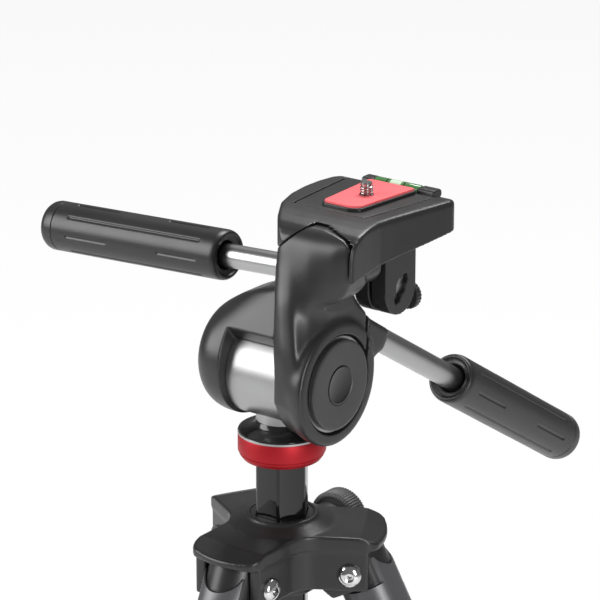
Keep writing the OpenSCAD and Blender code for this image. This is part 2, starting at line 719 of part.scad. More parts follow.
module leg_fittings(i) color("#3b3b3d") {
    on_leg(i) hinge_block();
    on_tubes(i) clamp_collar(upper_collar_top, upper_collar_h, upper_collar_r, upper_r, middle_r);
}

module leg_upper_tube(i) color("#57585a") on_tubes(i) {
    leg_tube(upper_tube_d, tube_top, upper_collar_top + upper_collar_h * 0.5);
    difference() {
        intersection() {
            ear_zone(ear_w);
            translate([0, 0, -20]) cylinder(h = 40, r = upper_r);
        }
        translate([0, 0, -20]) cylinder(h = 40, r = upper_r - tube_wall);
    }
}

module leg_upper_lever(i) color("#242425") on_tubes(i)
    clamp_lever(upper_collar_top, upper_collar_h, upper_collar_r);

module leg_middle_tube(i) color("#5d5e60") on_tubes(i)
    leg_tube(middle_tube_d, middle_top, lower_collar_top + lower_collar_h * 0.5);

module leg_lower_collar(i) color("#3b3b3d") on_tubes(i)
    clamp_collar(lower_collar_top, lower_collar_h, lower_collar_r, middle_r, lower_r);

module leg_lower_lever(i) color("#242425") on_tubes(i)
    clamp_lever(lower_collar_top, lower_collar_h, lower_collar_r);

module leg_lower_tube(i) color("#636466") on_tubes(i) leg_tube(lower_tube_d, lower_top, foot_top + 16);

module leg_foot(i) color("#1b1b1c") intersection() {
    on_tubes(i) difference() {
        translate([0, 0, -leg_len - 14]) cylinder(h = foot_h + 14, r = lower_r + 2);
        translate([0, 0, -foot_top - 16.1]) cylinder(h = 40, r = lower_r + seat_gap);
    }
    translate([-300, -300, 0]) cube([600, 600, 60]);
}

module one_leg(i) {
    name = str("leg_", legs[i], "_");
    leg_fittings(i);
    leg_upper_tube(i);
    leg_upper_lever(i);
    leg_middle_tube(i);
    leg_lower_collar(i);
    leg_lower_lever(i);
    leg_lower_tube(i);
    leg_foot(i);
}

spider();
column_bush();
leg_pivot_bolts();
lock_knob();
lock_stud();
column_tube();
column_end_cap();
head_plug();
red_ring();
thrust_washer();
pan_flange();
tilt_barrel();
barrel_cap();
cap_badge();
pan_screw();
tilt_arm();
tilt_cheek();
tilt_pin();
roll_shaft();
tilt_handle_rod();
tilt_handle_grip();
tilt_handle_cap();
platform();
roll_clamp();
deck_cover();
level_holder();
level_vial();
friction_knob();
side_handle_rod();
side_handle_grip();
side_handle_cap();
quick_plate();
plate_pad();
camera_screw();
release_lever();
lever_pin();
for (i = [0:2]) one_leg(i);
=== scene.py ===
import bpy
import bmesh
import json
import math
from mathutils import Matrix, Vector

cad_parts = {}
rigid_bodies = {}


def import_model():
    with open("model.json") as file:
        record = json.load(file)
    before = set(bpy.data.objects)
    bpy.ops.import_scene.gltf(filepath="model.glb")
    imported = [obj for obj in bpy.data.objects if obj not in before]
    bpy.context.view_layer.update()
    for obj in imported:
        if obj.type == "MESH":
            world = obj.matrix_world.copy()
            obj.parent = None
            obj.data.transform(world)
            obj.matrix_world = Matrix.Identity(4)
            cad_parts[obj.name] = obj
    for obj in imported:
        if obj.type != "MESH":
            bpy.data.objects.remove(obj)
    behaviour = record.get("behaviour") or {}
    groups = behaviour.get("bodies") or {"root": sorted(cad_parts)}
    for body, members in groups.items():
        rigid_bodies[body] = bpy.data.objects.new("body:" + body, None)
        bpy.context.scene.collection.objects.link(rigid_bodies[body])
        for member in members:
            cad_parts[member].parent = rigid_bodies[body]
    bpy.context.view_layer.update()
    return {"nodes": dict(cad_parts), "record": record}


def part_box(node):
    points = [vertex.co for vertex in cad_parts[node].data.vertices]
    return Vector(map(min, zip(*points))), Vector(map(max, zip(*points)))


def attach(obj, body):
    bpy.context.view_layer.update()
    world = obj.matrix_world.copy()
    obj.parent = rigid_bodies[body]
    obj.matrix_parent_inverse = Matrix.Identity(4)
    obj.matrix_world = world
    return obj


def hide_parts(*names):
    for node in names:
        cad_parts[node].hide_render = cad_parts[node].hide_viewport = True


for leftover in list(bpy.data.objects):
    bpy.data.objects.remove(leftover)
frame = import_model()

# ---------------------------------------------------------------- studio
# A camera on a stand, a pale paper floor that sweeps away to white, and three soft boxes:
# a large one at the front left, a long one at the right, and one overhead.
joints = {j["name"]: j for j in frame["record"]["behaviour"]["joints"]}
tilt_axis = Vector(joints["tilt"]["pos_m"])
swing, dip = math.radians(36.7), math.radians(19.0)
across = Vector((math.cos(swing), math.sin(swing), 0))
ahead = Vector((-math.sin(swing) * math.cos(dip), math.cos(swing) * math.cos(dip), -math.sin(dip)))
above = across.cross(ahead)
eye = tilt_axis + 0.00852 * across + 0.03295 * above - 1.493 * ahead
lens = bpy.data.cameras.new("studio_camera")
lens.sensor_width = 36
lens.lens = 190.8
lens.clip_end = 100
camera = bpy.data.objects.new("studio_camera", lens)
bpy.context.scene.collection.objects.link(camera)
camera.matrix_world = Matrix((
    (across.x, above.x, -ahead.x, eye.x), (across.y, above.y, -ahead.y, eye.y),
    (across.z, above.z, -ahead.z, eye.z), (0, 0, 0, 1)))
bpy.context.scene.camera = camera
bpy.context.scene.view_settings.view_transform = "Standard"


class Value:
    """A number or colour on its way through a finish."""

    def __init__(self, finish, socket):
        self.finish = finish
        self.socket = socket

    def sum_of(self, operation, first, second):
        return self.finish.node("ShaderNodeMath", {"operation": operation}, {0: first, 1: second})

    def __add__(self, other): return self.sum_of("ADD", self, other)
    def __radd__(self, other): return self.sum_of("ADD", other, self)
    def __sub__(self, other): return self.sum_of("SUBTRACT", self, other)
    def __rsub__(self, other): return self.sum_of("SUBTRACT", other, self)
    def __mul__(self, other): return self.sum_of("MULTIPLY", self, other)
    def __rmul__(self, other): return self.sum_of("MULTIPLY", other, self)


class Finish:
    """One material, put together node by node."""

    def __init__(self, name, tree=None):
        if tree is None:
            self.material = bpy.data.materials.new(name)
            self.material.use_nodes = True
            tree = self.material.node_tree
        self.tree = tree
        tree.nodes.clear()

    def node(self, kind, settings=None, inputs=None, out=0):
        made = self.tree.nodes.new(kind)
        for key, value in (settings or {}).items():
            setattr(made, key, value)
        for key, value in (inputs or {}).items():
            if isinstance(value, Value):
                self.tree.links.new(value.socket, made.inputs[key])
            else:
                made.inputs[key].default_value = value
        return Value(self, made.outputs[out]) if len(made.outputs) else None


def colour(r, g=None, b=None):
    return (r, r if g is None else g, r if b is None else b, 1)


paper = Finish("studio_paper")
path = paper.node("ShaderNodeLightPath", out="Is Camera Ray")
grain = paper.node("ShaderNodeTexNoise", None, {"Scale": 900.0, "Detail": 3.0}, out="Fac")
white = paper.node("ShaderNodeMix", {"data_type": "RGBA"}, {
    "Factor": grain, "A": colour(0.80), "B": colour(0.84)}, out=2)
plain = paper.node("ShaderNodeBsdfDiffuse", None, {"Color": white})
lit = paper.node("ShaderNodeEmission", None, {"Color": colour(1.0), "Strength": 1.02})
paper.node("ShaderNodeOutputMaterial", None, {
    "Surface": paper.node("ShaderNodeMixShader", None, {0: path * 0.9, 1: plain, 2: lit})})
sheet = bmesh.new()
bmesh.ops.create_grid(sheet, x_segments=2, y_segments=2, size=5.0)
mesh = bpy.data.meshes.new("studio_floor")
sheet.to_mesh(mesh)
sheet.free()
mesh.materials.append(paper.material)
floor = bpy.data.objects.new("studio_floor", mesh)
bpy.context.scene.collection.objects.link(floor)

world = bpy.data.worlds.new("studio")
bpy.context.scene.world = world
world.use_nodes = True
air = Finish("studio_air", world.node_tree)
seen = air.node("ShaderNodeLightPath", out="Is Camera Ray")
shone = air.node("ShaderNodeLightPath", out="Is Glossy Ray")
through = air.node("ShaderNodeLightPath", out="Is Transmission Ray")
air.node("ShaderNodeOutputWorld", None, {"Surface": air.node("ShaderNodeBackground", None, {
    "Color": colour(1.0), "Strength": seen * 0.90 + shone * 0.07 + through * 0.5 + 0.10})})


head_height = 0.38


def soft_box(name, at, width, height, power):
    """A rectangular lamp that looks at the head."""
    lamp = bpy.data.lights.new(name, "AREA")
    lamp.shape = "RECTANGLE"
    lamp.size = width
    lamp.size_y = height
    lamp.energy = power
    box = bpy.data.objects.new(name, lamp)
    bpy.context.scene.collection.objects.link(box)
    box.location = at
    box.rotation_euler = (Vector((0, 0, head_height)) - Vector(at)).to_track_quat("-Z", "Y").to_euler()


soft_box("front_box", (-1.3, -1.2, 1.15), 1.2, 1.3, 32)
soft_box("side_box", (1.0, -0.5, 0.62), 0.25, 0.7, 8)
soft_box("top_box", (-0.2, 0.9, 1.9), 1.3, 0.7, 34)

# ---------------------------------------------------------------- shoulder
# One glass-filled nylon moulding: three hoods round the column's bore, with a pocket under each
# for a leg's hinge block. Its edges are well rounded and its skin is a fine satin grain.
# Sizes here are in millimetres: "lip" is the top of the rim round the column.
MM = Matrix.Scale(0.001, 4)
lip_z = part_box("column_bush")[1][2] * 1000 + 0.6


def object_from(bm, name):
    mesh = bpy.data.meshes.new(name)
    bm.to_mesh(mesh)
    bm.free()
    ob = bpy.data.objects.new(name, mesh)
    bpy.context.scene.collection.objects.link(ob)
    return ob


def cad_solid(node):
    """A merged copy of a CAD node, in millimetres."""
    bm = bmesh.new()
    bm.from_mesh(frame["nodes"][node].data)
    bmesh.ops.remove_doubles(bm, verts=bm.verts, dist=1e-6)
    bmesh.ops.transform(bm, matrix=Matrix.Scale(1000, 4), verts=bm.verts)
    return object_from(bm, "copy_" + node)


def turned(profile, name="turning", place=None, steps=96):
    """Spins (radius, height) points about Z into a closed ring or solid."""
    bm = bmesh.new()
    points = [bm.verts.new((r, 0, z)) for r, z in profile]
    edges = [bm.edges.new((points[i], points[(i + 1) % len(points)])) for i in range(len(points))]
    bmesh.ops.spin(bm, geom=points + edges, axis=(0, 0, 1), cent=(0, 0, 0), angle=math.tau, steps=steps,
                   use_merge=True, use_duplicate=False)
    bmesh.ops.remove_doubles(bm, verts=bm.verts, dist=1e-5)
    bmesh.ops.dissolve_degenerate(bm, edges=bm.edges, dist=1e-6)
    bmesh.ops.recalc_face_normals(bm, faces=bm.faces)
    if place is not None:
        bmesh.ops.transform(bm, matrix=place, verts=bm.verts)
    return object_from(bm, name)


def apply_modifiers(ob):
    graph = bpy.context.evaluated_depsgraph_get()
    mesh = bpy.data.meshes.new_from_object(ob.evaluated_get(graph))
    old = ob.data
    ob.modifiers.clear()
    ob.data = mesh
    bpy.data.meshes.remove(old)


def combine(ob, operation, *others):
    for other in others:
        boolean = ob.modifiers.new("shape", "BOOLEAN")
        boolean.operation = operation
        boolean.object = other
        boolean.solver = "EXACT"
        apply_modifiers(ob)
        bpy.data.objects.remove(other)
    return ob


def prism(outline, axis, low, high):
    """A flat outline pushed along an axis. axis x: (y, z) points; y: (x, z); z: (x, y)."""
    bm = bmesh.new()
    at = {"x": lambda u, v: (low, u, v), "y": lambda u, v: (u, low, v), "z": lambda u, v: (u, v, low)}[axis]
    face = bm.faces.new([bm.verts.new(at(u, v)) for u, v in outline])
    geom = bmesh.ops.extrude_face_region(bm, geom=[face])["geom"]
    push = {"x": (high - low, 0, 0), "y": (0, high - low, 0), "z": (0, 0, high - low)}[axis]
    bmesh.ops.translate(bm, vec=push, verts=[v for v in geom if isinstance(v, bmesh.types.BMVert)])
    bmesh.ops.recalc_face_normals(bm, faces=bm.faces)
    return object_from(bm, "prism")


def bar(start, end, radius, steps=96):
    """A round bar from one point to another."""
    start, end = Vector(start), Vector(end)
    run = end - start
    bm = bmesh.new()
    place = Matrix.Translation((start + end) / 2) @ run.to_track_quat("Z", "Y").to_matrix().to_4x4()
    bmesh.ops.create_cone(bm, cap_ends=True, segments=steps, radius1=radius, radius2=radius, depth=run.length,
                          matrix=place)
    return object_from(bm, "bar")


def box_solid(low, high):
    (x0, y0, z0), (x1, y1, z1) = low, high
    return prism([(x0, y0), (x1, y0), (x1, y1), (x0, y1)], "z", z0, z1)


def moulded_edges(ob, voxel, passes, keep=1.0, solids=1):
    """Draws one even skin over the shape and rounds its edges, as in a mould.

    keep: the share of the triangles that stays. solids: how many separate solids the piece is.
    """
    skin = ob.modifiers.new("skin", "REMESH")
    skin.mode = "VOXEL"
    skin.voxel_size = voxel
    apply_modifiers(ob)
    bm = bmesh.new()
    bm.from_mesh(ob.data)
    bm.verts.ensure_lookup_table()
    left, islands = set(bm.verts), []
    while left:
        island, edge = set(), [left.pop()]
        while edge:
            vert = edge.pop()
            island.add(vert)
            for near in (e.other_vert(vert) for e in vert.link_edges):
                if near in left:
                    left.remove(near)
                    edge.append(near)
        islands.append(island)
    islands.sort(key=len)
    bmesh.ops.delete(bm, geom=[v for island in islands[:-solids] for v in island], context="VERTS")
    bm.to_mesh(ob.data)
    bm.free()
    ease = ob.modifiers.new("ease", "SMOOTH")
    ease.factor = 0.5
    ease.iterations = passes
    if keep < 1:
        lean = ob.modifiers.new("lean", "DECIMATE")
        lean.ratio = keep
    apply_modifiers(ob)
    return ob


def fit(ob, name, body, nodes, finish, place=None, sharp=35):
    """Names a finished piece, puts it at its place in metres and ties it to the frame."""
    ob.name = name
    ob.data.name = name
    bm = bmesh.new()
    bm.from_mesh(ob.data)
    bmesh.ops.transform(bm, matrix=MM @ (place or Matrix()), verts=bm.verts)
    for face in bm.faces:
        face.smooth = True
    for edge in bm.edges:
        edge.smooth = len(edge.link_faces) != 2 or edge.calc_face_angle(0) < math.radians(sharp)
    bm.to_mesh(ob.data)
    bm.free()
    ob.data.materials.clear()
    ob.data.materials.append(finish.material)
    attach(ob, body)
    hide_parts(*nodes)


def satin_plastic(name, shade, roughness, grain=2600.0, depth=0.00002, wear=0.25):
    """Moulded satin plastic: fine grain, slightly uneven tone, and edges polished by handling."""
    cool = (1.0, 1.0, 1.02)
    f = Finish(name)
    where = f.node("ShaderNodeTexCoord", out="Object")
    clouds = f.node("ShaderNodeTexNoise", None, {"Vector": where, "Scale": 55.0, "Detail": 4.0}, out="Fac")
    dust = f.node("ShaderNodeTexNoise", None, {"Vector": where, "Scale": 420.0, "Detail": 3.0}, out="Fac")
    fine = f.node("ShaderNodeTexNoise", None, {"Vector": where, "Scale": grain, "Detail": 2.0}, out="Fac")
    edge = f.node("ShaderNodeMapRange", None, {
        "Value": f.node("ShaderNodeNewGeometry", out="Pointiness"), "From Min": 0.515, "From Max": 0.60})
    rubbed = edge * (0.35 + dust * 0.9) * wear
    tone = f.node("ShaderNodeMix", {"data_type": "RGBA"}, {
        "Factor": 0.35 + (clouds - 0.5) * 1.6 + (dust - 0.5) * 0.4,
        "A": colour(*(shade * 0.93 * t for t in cool)), "B": colour(*(shade * 1.08 * t for t in cool))}, out=2)
    worn = f.node("ShaderNodeMix", {"data_type": "RGBA"}, {
        "Factor": rubbed, "A": tone, "B": colour(shade * 2.0)}, out=2)
    bump = f.node("ShaderNodeBump", None, {"Height": fine, "Strength": 0.6, "Distance": depth})
    f.node("ShaderNodeOutputMaterial", None, {"Surface": f.node("ShaderNodeBsdfPrincipled", None, {
        "Base Color": worn, "Normal": bump, "Specular IOR Level": 0.5,
        "Roughness": roughness + (clouds - 0.5) * 0.12 - rubbed * 0.25 + (fine - 0.5) * 0.05})})
    return f


shoulder_plastic = satin_plastic("shoulder_plastic", 0.019, 0.34)
rim = turned([(15.3, 0.0), (16.4, 0.15), (17.2, -0.2), (17.7, -1.3), (18.8, -2.7), (20.8, -3.9), (23.2, -4.6),
              (24.3, -5.2), (24.3, -8.0), (15.3, -8.0)], place=Matrix.Translation((0, 0, lip_z)))
spider = combine(cad_solid("spider"), "UNION", rim)
hood_x, hood_y, hood_r = 41.5, 12.5, 7
for turn in (-90, 30, 150):
    for side in (1, -1):
        corner = combine(box_solid((hood_x, hood_y, -13), (60, 30, 6)), "DIFFERENCE",
                         bar((hood_x, hood_y, -20), (hood_x, hood_y, 20), hood_r))
        corner.data.transform(Matrix.Translation((0, 0, lip_z)) @ Matrix.Rotation(math.radians(turn), 4, "Z")
                              @ Matrix.Diagonal((1, side, 1, 1)))
        if side < 0:
            corner.data.flip_normals()
        combine(spider, "DIFFERENCE", corner)
moulded_edges(spider, 0.6, 12, 0.45)
fit(spider, "shoulder", "shoulder", ["spider"], shoulder_plastic, sharp=80)

# The bolts through the hoods are domed socket screws, chrome plated, with a small hex recess.
chrome = Finish("bright_chrome")
smear = chrome.node("ShaderNodeTexNoise", None, {
    "Vector": chrome.node("ShaderNodeTexCoord", out="Object"), "Scale": 260.0, "Detail": 4.0}, out="Fac")
chrome.node("ShaderNodeOutputMaterial", None, {"Surface": chrome.node("ShaderNodeBsdfPrincipled", None, {
    "Base Color": chrome.node("ShaderNodeMix", {"data_type": "RGBA"}, {
        "Factor": smear, "A": colour(0.62, 0.62, 0.63), "B": colour(0.78, 0.78, 0.78)}, out=2),
    "Metallic": 1.0, "Roughness": 0.07 + smear * 0.10,
    "Normal": chrome.node("ShaderNodeBump", None, {"Height": smear, "Strength": 0.15, "Distance": 0.00004})})})
bolts = []
hinges = {leg: Vector(joints[f"leg_{leg}_fold"]["pos_m"]) * 1000 for leg in "abc"}
for leg, hinge in hinges.items():
    outward = math.atan2(hinge.y, hinge.x)
    for side in (1, -1):
        dome = turned([(0, -8), (2.8, -8), (2.8, 0), (5.6, 0), (5.75, 0.5), (5.6, 1.2), (5.0, 2.1), (4.0, 2.8),
                       (2.9, 3.2), (2.3, 3.3), (2.05, 3.15), (2.0, 1.5), (0, 1.3)], "bolt_head", steps=48)
        seat = bmesh.new()
        bmesh.ops.create_cone(seat, cap_ends=True, segments=6, radius1=1.2, radius2=1.2, depth=4,
                              matrix=Matrix.Translation((0, 0, 2.2)))
        combine(dome, "DIFFERENCE", object_from(seat, "socket"))
        dome.data.transform(Matrix.Translation(hinge) @ Matrix.Rotation(outward, 4, "Z")
                            @ Matrix.Translation((0, side * 19.0, 0)) @ Matrix.Rotation(-side * math.pi / 2, 4, "X"))
        bolts.append(dome)
    shank = bmesh.new()
    bmesh.ops.create_cone(shank, cap_ends=True, segments=32, radius1=3, radius2=3, depth=30,
                          matrix=Matrix.Translation(hinge) @ Matrix.Rotation(outward, 4, "Z")
                          @ Matrix.Rotation(math.pi / 2, 4, "X"))
    bolts.append(object_from(shank, "shank"))


def merged(parts, name):
    bm = bmesh.new()
    for part in parts:
        bm.from_mesh(part.data)
        bpy.data.objects.remove(part)
    return object_from(bm, name)


fit(merged(bolts, "bolts"), "leg_bolts", "shoulder", ["leg_pivot_bolts"], chrome)

# ---------------------------------------------------------------- column lock
# A screw with a rubber-covered hand knob behind the shoulder. Fine ribs run round the knob's rim,
# and its front face is a shallow smooth cone.
knob_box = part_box("lock_knob")
knob_at = Vector(((knob_box[0][0] + knob_box[1][0]) / 2, knob_box[0][1],
                  (knob_box[0][2] + knob_box[1][2]) / 2)) * 1000


def ribbed_rim(ribs, outer, inner, start, end):
    """An open ring of ribs. Gives the mesh and the points of its near and far edges."""
    bm = bmesh.new()
    rim = bmesh.ops.create_circle(bm, cap_ends=False, segments=ribs * 4, radius=outer)["verts"]
    for count, vert in enumerate(rim):
        if count % 4 in (0, 1):
            vert.co *= inner / outer
    geom = bmesh.ops.extrude_edge_only(bm, edges=list(bm.edges))["geom"]
    far = [v for v in geom if isinstance(v, bmesh.types.BMVert)]
    near = [v for v in bm.verts if v not in far]
    bmesh.ops.translate(bm, vec=(0, 0, start), verts=near)
    bmesh.ops.translate(bm, vec=(0, 0, end), verts=far)
    return bm, near, far


def closed_in(bm, ring, steps):
    """Extrudes an open ring inwards over (scale, rise) steps and closes it with one face."""
    edges = [e for e in bm.edges if e.verts[0] in ring and e.verts[1] in ring]
    for scale, rise in steps:
        geom = bmesh.ops.extrude_edge_only(bm, edges=edges)["geom"]
        ring = [v for v in geom if isinstance(v, bmesh.types.BMVert)]
        edges = [e for e in geom if isinstance(e, bmesh.types.BMEdge) and len(e.link_faces) < 2]
        bmesh.ops.scale(bm, vec=(scale, scale, 1), verts=ring)
        bmesh.ops.translate(bm, vec=(0, 0, rise), verts=ring)
    bmesh.ops.edgeloop_fill(bm, edges=edges)


knob, near, far = ribbed_rim(60, 13.9, 13.5, 1.2, 9.4)
closed_in(knob, near, [(0.965, -0.7), (0.95, -0.45), (0.93, 0.0), (0.96, 0.7), (0.55, 0.9)])
closed_in(knob, far, [(0.965, 0.7), (0.95, 0.5), (0.9, 0.1), (0.97, -0.5), (0.2, 0.3)])
bmesh.ops.recalc_face_normals(knob, faces=knob.faces)
soft_rubber = satin_plastic("knob_rubber", 0.060, 0.55, grain=1900.0, depth=0.00003, wear=0.15)
fit(object_from(knob, "knob"), "column_lock_knob", "column_lock", ["lock_knob"], soft_rubber,
    Matrix.Translation(knob_at) @ Matrix.Rotation(-math.pi / 2, 4, "X"), sharp=45)

# ---------------------------------------------------------------- column
# A six-sided aluminium tube, black anodised to a gloss, with a moulded stop at its foot. On top sit a
# turned ring anodised red and the bright washer that the head turns on.
gloss = Finish("black_anodised")
where = gloss.node("ShaderNodeTexCoord", out="Object")
long_lines = gloss.node("ShaderNodeTexNoise", None, {
    "Vector": gloss.node("ShaderNodeMapping", None, {"Vector": where, "Scale": (900.0, 900.0, 12.0)}),
    "Scale": 1.0, "Detail": 3.0}, out="Fac")
touch = gloss.node("ShaderNodeTexNoise", None, {"Vector": where, "Scale": 70.0, "Detail": 4.0}, out="Fac")
gloss.node("ShaderNodeOutputMaterial", None, {"Surface": gloss.node("ShaderNodeBsdfPrincipled", None, {
    "Base Color": gloss.node("ShaderNodeMix", {"data_type": "RGBA"}, {
        "Factor": touch, "A": colour(0.003), "B": colour(0.006)}, out=2),
    "Roughness": 0.05 + touch * 0.04 + long_lines * 0.02,
    "Normal": gloss.node("ShaderNodeBump", None, {"Height": long_lines, "Strength": 0.1, "Distance": 0.000005})})})
tube_low, tube_high = (end[2] * 1000 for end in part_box("column_tube"))
half_across_flats = 11.8
tube = bmesh.new()
bmesh.ops.create_circle(tube, cap_ends=False, segments=6, radius=half_across_flats / math.cos(math.pi / 6),
                        matrix=Matrix.Rotation(math.radians(30), 4, "Z"))
up = bmesh.ops.extrude_edge_only(tube, edges=list(tube.edges))["geom"]
top = [v for v in up if isinstance(v, bmesh.types.BMVert)]
bmesh.ops.translate(tube, vec=(0, 0, tube_high - tube_low), verts=top)
bmesh.ops.bevel(tube, geom=[e for e in tube.edges if abs(e.verts[0].co.z - e.verts[1].co.z) > 1], offset=1.5,
                affect="EDGES", segments=5, profile=0.5, material=-1)
ends = [e for e in tube.edges if abs(e.verts[0].co.z - e.verts[1].co.z) < 1e-3]
for level in (0.0, tube_high - tube_low):
    ring = [e for e in ends if abs(e.verts[0].co.z - level) < 1e-3]
    geom = bmesh.ops.extrude_edge_only(tube, edges=ring)["geom"]
    bmesh.ops.scale(tube, vec=(0.82, 0.82, 1), verts=[v for v in geom if isinstance(v, bmesh.types.BMVert)])
bmesh.ops.bridge_loops(tube, edges=[e for e in tube.edges if len(e.link_faces) < 2])
bmesh.ops.recalc_face_normals(tube, faces=tube.faces)
fit(object_from(tube, "tube"), "centre_column", "column", ["column_tube"], gloss,
    Matrix.Translation((0, 0, tube_low)), sharp=25)


def turned_metal(name, shade, roughness, lines, metallic=1.0, tilt=(0, 0, 0), spread=0.06, depth=0.00002,
                 scatter=0.16):
    """Metal with the fine lines that a lathe, a drawing die or a brush leaves.

    lines: scale along each axis. tilt: turns them. spread, depth, scatter: how much they vary the colour,
    the height and the roughness.
    """
    f = Finish(name)
    where = f.node("ShaderNodeTexCoord", out="Object")
    turn = f.node("ShaderNodeMapping", None, {"Vector": where, "Rotation": tilt, "Scale": lines})
    cut = f.node("ShaderNodeTexNoise", None, {
        "Vector": turn, "Scale": 1.0, "Detail": 4.0, "Roughness": 0.7}, out="Fac")
    soft = f.node("ShaderNodeTexNoise", None, {"Vector": where, "Scale": 80.0, "Detail": 3.0}, out="Fac")
    f.node("ShaderNodeOutputMaterial", None, {"Surface": f.node("ShaderNodeBsdfPrincipled", None, {
        "Base Color": f.node("ShaderNodeMix", {"data_type": "RGBA"}, {
            "Factor": 0.5 + (cut - 0.5) * 1.4 + (soft - 0.5) * 0.3,
            "A": colour(*(v * (1 - spread) for v in shade)),
            "B": colour(*(v * (1 + spread) for v in shade))}, out=2),
        "Metallic": metallic, "Roughness": roughness + (cut - 0.5) * scatter + (soft - 0.5) * 0.06,
        "Normal": f.node("ShaderNodeBump", None, {"Height": cut, "Strength": 0.5, "Distance": depth})})})
    return f


red_metal = turned_metal("red_anodised", (0.40, 0.008, 0.016), 0.50, (3.0, 3.0, 2600.0), metallic=0.6,
                         spread=0.12)
ring_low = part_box("red_ring")[0][2] * 1000
fit(turned([(13.5, 0), (18.3, 0), (18.9, 0.25), (19.6, 1.2), (20.2, 2.1), (20.35, 2.5), (20.35, 3.0),
            (20.1, 3.15), (20.1, 3.4), (20.9, 3.7), (21.0, 4.1), (21.0, 11.9), (20.8, 12.3), (20.5, 12.4),
            (13.5, 12.4)], steps=128),
    "red_ring", "column", ["red_ring"], red_metal, Matrix.Translation((0, 0, ring_low)), sharp=30)
bright_ring = turned_metal("washer_steel", (0.42, 0.42, 0.42), 0.30, (3.0, 3.0, 3000.0))
washer_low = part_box("thrust_washer")[0][2] * 1000
fit(turned([(12.7, 0), (20.9, 0), (21.0, 0.1), (21.0, 1.0), (20.85, 1.15), (12.7, 1.15)], steps=128),
    "head_washer", "column", ["thrust_washer"], bright_ring, Matrix.Translation((0, 0, washer_low)),
    sharp=30)


def coat(finish, *nodes):
    """Gives CAD nodes that stay as they are a finish."""
    for node in nodes:
        frame["nodes"][node].data.materials.clear()
        frame["nodes"][node].data.materials.append(finish.material)


black_plastic = satin_plastic("black_plastic", 0.018, 0.34, wear=0.15)
coat(black_plastic, "column_end_cap", "column_bush")

# ---------------------------------------------------------------- pan joint and tilt barrel
# The barrel is a turned alloy drum lying across the head, brushed round its length, on a short neck
# whose black flange runs on the washer. A grey moulded cap closes its right-hand end.
HEAD = Matrix.Translation(tilt_axis * 1000)
ALONG_X = Matrix.Rotation(math.pi / 2, 4, "Y")
flange_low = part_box("pan_flange")[0][2] * 1000
gloss_plastic = satin_plastic("gloss_black_plastic", 0.014, 0.16, wear=0.1, depth=0.000008)
fit(turned([(12.35, 0), (20.6, 0), (20.75, 0.15), (20.7, 0.5), (19.6, 0.85), (17.0, 1.1), (15.2, 1.9),
            (13.6, 3.0), (12.8, 4.2), (12.35, 5.6)], steps=128),
    "pan_flange", "pan_base", ["pan_flange"], gloss_plastic,
    Matrix.Translation((0, 0, flange_low)), sharp=30)
coat(turned_metal("brushed_barrel", (0.40, 0.40, 0.405), 0.38, (3200.0, 2.0, 2.0)), "tilt_barrel")
coat(turned_metal("turned_steel", (0.52, 0.52, 0.53), 0.28, (1500.0, 1500.0, 40.0)),
     "pan_screw", "tilt_pin", "roll_shaft", "lever_pin", "lock_stud", "head_plug")
cap_grey = satin_plastic("cap_grey", 0.040, 0.36, grain=2200.0, wear=0.3)
cap_face = 34.2
fit(turned([(0, 27.2), (7.9, 27.2), (7.9, 31.6), (21.3, 31.6), (21.75, 31.9), (21.75, cap_face - 0.75),
            (21.6, cap_face - 0.3), (21.1, cap_face - 0.05), (20.4, cap_face), (19.8, cap_face),
            (10.6, cap_face - 0.1), (9.8, cap_face - 0.15), (9.5, cap_face - 0.4), (9.45, cap_face - 0.95),
            (0, cap_face - 0.95)], steps=128),
    "barrel_cap", "pan_base", ["barrel_cap"], cap_grey, HEAD @ ALONG_X, sharp=30)
fit(turned([(0, 33.25), (9.1, 33.25), (9.3, 33.45), (9.3, 34.0), (9.05, 34.2), (8.6, 34.22), (8.2, 34.1),
            (7.8, 33.98), (0, 33.85)], steps=96),
    "cap_disc", "pan_base", ["cap_badge"], gloss_plastic, HEAD @ ALONG_X, sharp=40)

# ---------------------------------------------------------------- tilt body
# Two mouldings that hold the barrel between them: the arm at the right carries a clamping ring round
# the barrel and climbs to the roll joint, and the cheek at the left is a rounded drum with a window
# that the neck swings in. Sizes are in millimetres from the point where the pan and tilt axes cross.


def loft(sections, between=5):
    """Joins like outlines one after another, eased from each to the next."""
    rings = []
    for i in range(len(sections) - 1):
        before, a, b, after = (sections[max(0, min(len(sections) - 1, i + k))] for k in (-1, 0, 1, 2))
        for step in range(between):
            t = step / between
            rings.append([0.5 * (2 * q + (r - p) * t + (2 * p - 5 * q + 4 * r - w) * t * t
                                 + (3 * q - p - 3 * r + w) * t ** 3)
                          for p, q, r, w in zip(*([Vector(v) for v in ring] for ring in (before, a, b, after)))])
    rings.append([Vector(v) for v in sections[-1]])
    bm = bmesh.new()
    last = None
    for ring in rings:
        points = [bm.verts.new(v) for v in ring]
        edges = [bm.edges.new((points[i], points[(i + 1) % len(points)])) for i in range(len(points))]
        if last is None:
            bmesh.ops.edgeloop_fill(bm, edges=edges)
        else:
            bmesh.ops.bridge_loops(bm, edges=last + edges)
        last = edges
    bmesh.ops.edgeloop_fill(bm, edges=last)
    bmesh.ops.recalc_face_normals(bm, faces=bm.faces)
    return object_from(bm, "loft")


